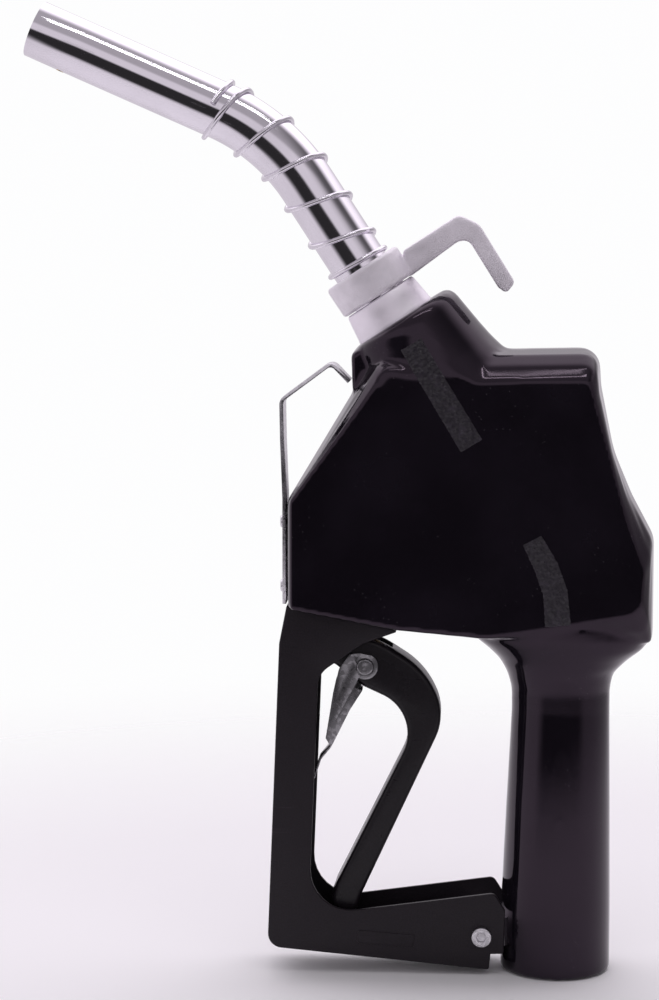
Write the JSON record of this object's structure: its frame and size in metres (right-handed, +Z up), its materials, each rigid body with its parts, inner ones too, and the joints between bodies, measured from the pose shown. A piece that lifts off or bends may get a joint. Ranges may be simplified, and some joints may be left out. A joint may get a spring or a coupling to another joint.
{
  "type": "automatic fuel nozzle",
  "caption": "Automatic shut-off fuel nozzle with a bent spout, hook ring, covered body and grip, squeeze lever, hold-open clip and channel guard.",
  "frame": {"origin": "centre of the hose inlet's mouth, at the bottom end of the grip", "axes": "+Z up the grip along the inlet axis, -X towards the spout, Y across the body; the body is mirrored about y = 0"},
  "size_m": [0.2631, 0.056, 0.4072],
  "materials": {
    "vinyl_black": "glossy dipped vinyl",
    "guard_black": "satin black powder coat",
    "lever_black": "satin black moulded",
    "cast_aluminium": "bead-blasted casting",
    "turned_aluminium": "satin turned",
    "spout_chrome": "polished tube",
    "bright_wire": "bright drawn wire",
    "spring_steel": "drawn wire",
    "clip_chrome": "plated sheet",
    "zinc_steel": "zinc plated",
    "pin_steel": "ground",
    "brass": "turned",
    "rubber_black": "matte"
  },
  "bodies": {
    "root": {"body_cover": "vinyl_black", "body_casting": "cast_aluminium", "body_cap": "brass", "cap_oring": "rubber_black", "poppet_spring": "spring_steel", "stem_guide": "brass", "stem_packing": "rubber_black", "trip_spring": "spring_steel", "diaphragm": "rubber_black", "diaphragm_cover": "cast_aluminium", "diaphragm_spring": "spring_steel", "guard": "guard_black", "guard_top_screws": "zinc_steel", "guard_bolt": "zinc_steel", "guard_nut": "zinc_steel", "hanger_strap": "zinc_steel", "strap_screws": "zinc_steel", "check_seat": "brass", "check_spring": "spring_steel", "spout_bushing": "turned_aluminium", "bushing_oring": "rubber_black", "spout": "spout_chrome", "vacuum_tube": "turned_aluminium", "vacuum_port": "brass", "spout_spring": "bright_wire", "hook_ring": "cast_aluminium", "hook_set_screw": "pin_steel"},
    "trip": {"trip_stem": "pin_steel", "latch_rollers": "pin_steel"},
    "latch": {"latch_pin": "pin_steel"},
    "lever": {"lever": "lever_black", "lever_pin": "pin_steel", "lever_roller": "pin_steel", "clip_rivet": "clip_chrome", "clip_spring": "spring_steel"},
    "clip": {"hold_open_clip": "clip_chrome"},
    "valve": {"valve_stem": "pin_steel", "main_poppet": "brass", "poppet_seal": "rubber_black"},
    "check": {"check_cone": "turned_aluminium"}
  },
  "joints": [
    {"name": "trip_drop", "type": "slide", "parent": "root", "child": "trip", "axis": [0, 0, -1], "range_m": [0, 0.008], "stiffness_N_per_m": 400, "springref_m": -0.006, "deforming": ["trip_spring"]},
    {"name": "latch_lift", "type": "slide", "parent": "root", "child": "latch", "axis": [0, 0, 1], "range_m": [0, 0.003], "deforming": ["diaphragm", "diaphragm_spring"]},
    {"name": "lever_squeeze", "type": "hinge", "parent": "trip", "child": "lever", "pos_m": [-0.098, 0, 0.14], "axis": [0, -1, 0], "range_deg": [0, 20], "stiffness_Nm_per_rad": 0.6, "springref_deg": -22.92},
    {"name": "valve_lift", "type": "slide", "parent": "root", "child": "valve", "axis": [0.5446, 0, 0.8387], "range_m": [0, 0.0048], "deforming": ["poppet_spring"]},
    {"name": "clip_swing", "type": "hinge", "parent": "lever", "child": "clip", "pos_m": [-0.0809, 0, 0.1307], "axis": [0, 1, 0], "range_deg": [0, 12], "stiffness_Nm_per_rad": 0.02, "springref_deg": -22.92, "deforming": ["clip_spring"]},
    {"name": "check_open", "type": "slide", "parent": "root", "child": "check", "axis": [-0.5476, 0, 0.8368], "range_m": [0, 0.004], "stiffness_N_per_m": 300, "springref_m": -0.004, "deforming": ["check_spring"]}
  ],
  "couplings": [
    {"joint": "latch_lift", "follows": "trip_drop", "ratio": 0.375},
    {"joint": "valve_lift", "follows": "lever_squeeze", "m_per_rad": 0.0126}
  ]
}
